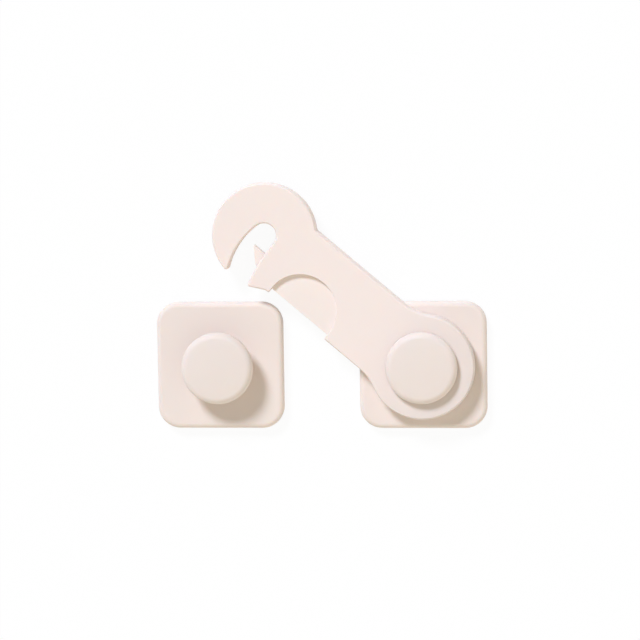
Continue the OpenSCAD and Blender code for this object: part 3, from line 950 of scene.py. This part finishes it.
def peg(x0, x1):
    """A round peg along the arm that centres the spring, from x0 to x1."""
    peg_r, peg_edge = 0.55, 0.1
    angle = np.linspace(0, 2 * np.pi, 32, endpoint=False)
    ends = np.array([x0, x0 + peg_edge, x1])[:, None]
    radius = np.array([peg_r - peg_edge, peg_r, peg_r])[:, None]
    y, z = spring_y + radius * np.cos(angle), spring_z + radius * np.sin(angle)
    return stack("peg", np.stack([np.broadcast_to(ends, y.shape), y, z], -1))


peg_len = 2.4
carve(slider, [peg(slider_x0 - peg_len, slider_x0 + rib / 2)], "UNION")
place(turned(slider), "latch", "latch_slider", slider_plastic)

# %% [markdown]
# ## The cover and its screws
# The cover lies flush in the back of the arm with a hairline gap round it. Four countersunk
# screws hold it. A screw head is a polar grid whose height dips where the cross recess is: the
# recess is the union of two narrow bands, softened at their edges.

# %% Shape: cover and screws
screw_head_r, screw_r, screw_len, head_h = 1.45, 0.7, 3.2, 0.7
screw_boss_r = 2
row_y = (slider_y0 - slide_clear - rib - bar_back + wall) / 2
SCREWS = [
    np.array([-(ring_r - wall + boss_r) / 2, 0]),
    np.array([channel_x0 + screw_boss_r, row_y]),
    np.array([crease_x - screw_boss_r, row_y]),
    seat_at + polar((head_r + seat_r) / 2, -mouth_turn),
]
chamfer, edge = 0.15, wall + fit
cover_profile = [(edge + chamfer, arm_z0), (edge, arm_z0 + chamfer), (edge, channel_z0)]
cover = moulding("arm_cover_skin", cover_outline, cover_profile)


def sink(at):
    """A countersunk hole: a cone below a straight shank."""
    head, shank = screw_head_r + screw_play, screw_r + screw_play
    profile = [(head + BEYOND, arm_z0 - BEYOND), (head, arm_z0),
               (shank, arm_z0 + head_h), (shank, channel_z0 + BEYOND)]
    return stack("sink", np.array([lift(circle(r, 48) + at, z) for r, z in profile]))


boss_hole = disc(boss_r + fit, arm_z0 - BEYOND, channel_z0 + BEYOND)
carve(cover, [boss_hole] + [sink(at) for at in SCREWS])
place(turned(cover), "arm", "arm_cover", cover_plastic)


def screw_rings(at):
    """Rings of one screw, from the middle of its sunk head out and up to the point.

    The head's face dips by the depth of the recess where a point lies in either arm of the
    cross: the dip is the larger of two smooth steps of the distance across each arm.
    """
    middle_r, face_r, edge_r = 0.02, screw_head_r - 0.08, screw_head_r - 0.02
    sunk, edge_h, point_r, point_len = 0.02, 0.06, 0.12, 0.5
    cross_w, cross_l, depth, softness = 0.19, 0.85, 0.4, 0.08
    angle = np.linspace(0, 2 * np.pi, 96, endpoint=False)
    way = np.column_stack([np.cos(angle), np.sin(angle)])
    radius = np.concatenate([np.linspace(middle_r, face_r, 22), [edge_r]])
    x, y = radius[:, None] * way[:, 0], radius[:, None] * way[:, 1]

    def within(distance, half):
        """1 inside half, 0 outside it, with a soft step between."""
        return np.clip((half - np.abs(distance)) / softness + 0.5, 0, 1)

    across = within(x, cross_w) * within(y, cross_l)
    along = within(y, cross_w) * within(x, cross_l)
    face = arm_z0 + sunk + depth * np.maximum(across, along)
    shank = [(edge_r, edge_h), (screw_r, head_h),
             (screw_r, screw_len - point_len), (point_r, screw_len)]
    side = [lift(r * way, arm_z0 + z) for r, z in shank]
    return np.concatenate([np.stack([x, y, face], -1), np.array(side)]) + np.array([*at, 0])


screws = stack("arm_cover_screws_skin", screw_rings(SCREWS[0]))
others = [stack("screw", screw_rings(at)) for at in SCREWS[1:]]
carve(screws, others, "UNION")
place(turned(screws), "arm", "arm_cover_screws", screw_steel)

# %% [markdown]
# ## The spring
# A coil spring is a round section carried along a helix, from the bay to the slider's tail. It is
# made at the length it has with the slider at rest, and rides with the arm.

# %% Shape: spring
def spring_rings():
    """Rings of the wire along the helix.

    The middle of the wire is at x = share of the length and at the angle 2 pi turns times the
    share. The section lies in the plane of the outward normal and the binormal of the helix.
    """
    turns, coil_r, wire_r, steps = 12, 1.0, 0.15, 28
    x0, x1 = spring_x0 + wire_r, slider_x0 - wire_r
    share = np.linspace(0, 1, turns * steps + 1)
    angle = 2 * np.pi * turns * share
    c, s = np.cos(angle), np.sin(angle)
    rise = (x1 - x0) / (2 * np.pi * turns)
    middle = np.column_stack([x0 + (x1 - x0) * share, coil_r * c, coil_r * s])
    out = np.column_stack([np.zeros_like(angle), c, s])
    ahead = np.column_stack([np.full_like(angle, rise), -coil_r * s, coil_r * c])
    ahead /= np.linalg.norm(ahead, axis=1)[:, None]
    side = np.cross(ahead, out)
    round_a = np.linspace(0, 2 * np.pi, 12, endpoint=False)[:, None, None]
    tube = middle + wire_r * (np.cos(round_a) * out + np.sin(round_a) * side)
    return tube.transpose(1, 0, 2)[:, ::-1] + np.array([0, spring_y, spring_z])


spring = turned(stack("latch_spring_skin", spring_rings()))
place(spring, "arm", "latch_spring", spring_steel)
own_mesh(spring)

# %% [markdown]
# ## Hidden screws
# The two cap screws sit behind the foam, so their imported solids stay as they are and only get
# their metal.

# %% Finish: cap screws
for name in ("pivot_cap_screw", "catch_cap_screw"):
    node = frame["nodes"][name]
    node.data.materials.clear()
    node.data.materials.append(screw_steel)

# %% [markdown]
# ## Floor, world and light
# The product photo is a cut-out on white, lit by one soft lamp high on the left behind the
# object, in a pale room. A sun with a wide angle gives the soft-edged shadows, and the world
# gives the rest. It is brighter on the side away from the lamp, as if a white card stood there,
# so that walls in shade stay light. Sun and world add up to a level at which a flat, level
# surface renders in its own colour. The camera sees a white world and a nearly white floor,
# which keeps a light shadow under the lock, while other rays find a pale floor.

# %% Stage: floor and world
AMBIENT = np.array([0.535, 0.505, 0.435])
FILL = 1.0
FILL_SIDE = np.array([0.47, -0.8827])
FLOOR_BOUNCE = (0.92, 0.92, 0.92, 1)
FLOOR_SEEN = (0.97, 0.97, 0.97, 1)
FLOOR_WHITE = 0.93
FLOOR_HALF = 900.0
FLOOR_DROP = 0.02


def white_for_camera(tree):
    """1 where a ray comes from the camera or from gloss or glass that it looks at, else 0."""
    ray = add_node(tree, "ShaderNodeLightPath").outputs
    either = maths(tree, "MAXIMUM", ray["Is Camera Ray"], ray["Is Glossy Ray"])
    return maths(tree, "MAXIMUM", either, ray["Is Transmission Ray"])


def floor_material():
    """A matt floor: the camera sees it mostly as plain white, other rays as a pale surface."""
    material = new_material("pale_floor")[0]
    tree = material.node_tree
    tree.nodes.clear()
    seen = white_for_camera(tree)
    matt = add_node(tree, "ShaderNodeBsdfDiffuse")
    plain = add_node(tree, "ShaderNodeEmission", inputs={"Color": (1, 1, 1, 1), "Strength": 1.0})
    mix = add_node(tree, "ShaderNodeMixShader")
    out = add_node(tree, "ShaderNodeOutputMaterial")
    tree.links.new(colour_mix(tree, seen, FLOOR_BOUNCE, FLOOR_SEEN), matt.inputs["Color"])
    tree.links.new(maths(tree, "MULTIPLY", seen, FLOOR_WHITE), mix.inputs[0])
    tree.links.new(matt.outputs[0], mix.inputs[1])
    tree.links.new(plain.outputs[0], mix.inputs[2])
    tree.links.new(mix.outputs[0], out.inputs["Surface"])
    return material


corners = FLOOR_HALF * np.array([[-1, -1], [1, -1], [1, 1], [-1, 1]])
floor = new_piece("floor", lift(corners, -FLOOR_DROP), [[0, 1, 2, 3]])
floor.data.materials.append(floor_material())

world = bpy.data.worlds.new("pale_room")
bpy.context.scene.world = world
world.use_nodes = True
sky = world.node_tree
backdrop = sky.nodes["Background"]


def sky_light():
    """Light of the sky: AMBIENT (1 + FILL side.way), brighter towards FILL_SIDE.

    The second part adds nothing on a level face, because what one half of the sky gains the
    other half loses. It lights the walls that face away from the lamp, as a white card does.
    """
    side = add_node(sky, "ShaderNodeVectorMath", operation="DOT_PRODUCT",
                    inputs={1: (*(FILL * FILL_SIDE), 0)})
    held = maths(sky, "MAXIMUM", maths(sky, "ADD", side.outputs["Value"], 1.0), 0.0)
    light = add_node(sky, "ShaderNodeVectorMath", operation="SCALE", inputs={0: tuple(AMBIENT)})
    sky.links.new(add_node(sky, "ShaderNodeTexCoord").outputs["Generated"], side.inputs[0])
    sky.links.new(held, light.inputs["Scale"])
    return light.outputs["Vector"]


room = colour_mix(sky, white_for_camera(sky), sky_light(), (1, 1, 1, 1))
sky.links.new(room, backdrop.inputs["Color"])

# %% Stage: lamp
LAMP_LIFT = np.radians(39.5)
LAMP_WIDTH = np.radians(15)
LAMP_SIDE = -FILL_SIDE
lamp = bpy.data.lights.new("soft_lamp", "SUN")
lamp.angle = LAMP_WIDTH
lamp_share = 1 - AMBIENT
lamp.color = lamp_share / lamp_share.max()
lamp.energy = np.pi * lamp_share.max() / np.sin(LAMP_LIFT)
lamp_at = Vector((*(LAMP_SIDE * np.cos(LAMP_LIFT)), np.sin(LAMP_LIFT)))
lamp_holder = bpy.data.objects.new("soft_lamp", lamp)
lamp_holder.rotation_mode = "QUATERNION"
lamp_holder.rotation_quaternion = lamp_at.to_track_quat("Z", "Y")
bpy.context.scene.collection.objects.link(lamp_holder)
print(f"lamp strength {lamp.energy:.2f}")

# %% [markdown]
# ## The camera
# The photo looks almost straight down. Its small tilt was worked out from the places of the
# bases, caps, ring and head in the picture: the camera stands a little above and to the right
# of the lock, far enough away that there is hardly any perspective.

# %% Camera
LOOKS_AT = np.array([-reach / 2, 14.5, 5.0])
TILT = np.array([0.1127, 0.1214, 1.0])
DISTANCE = 1000.0
ROLL = np.radians(-0.92)
PIXELS_PER_RADIAN = 3198.0
IMAGE = 640

lens = bpy.data.cameras.new("camera")
lens.sensor_width = 36.0
lens.lens = lens.sensor_width * PIXELS_PER_RADIAN / IMAGE
lens.clip_start, lens.clip_end = 0.01, 10.0
camera = bpy.data.objects.new("camera", lens)
back = Vector(TILT).normalized()
camera.location = (Vector(LOOKS_AT) + back * DISTANCE) * MM
camera.rotation_mode = "QUATERNION"
right = Vector((0, 1, 0)).cross(back).normalized()
up = back.cross(right)
tilted_right = right * np.cos(ROLL) + up * np.sin(ROLL)
tilted_up = up * np.cos(ROLL) - right * np.sin(ROLL)
rotation = np.column_stack([tilted_right, tilted_up, back])
camera.rotation_quaternion = Matrix(rotation.tolist()).to_quaternion()
bpy.context.scene.collection.objects.link(camera)
bpy.context.scene.camera = camera
bpy.context.scene.view_settings.view_transform = "Standard"
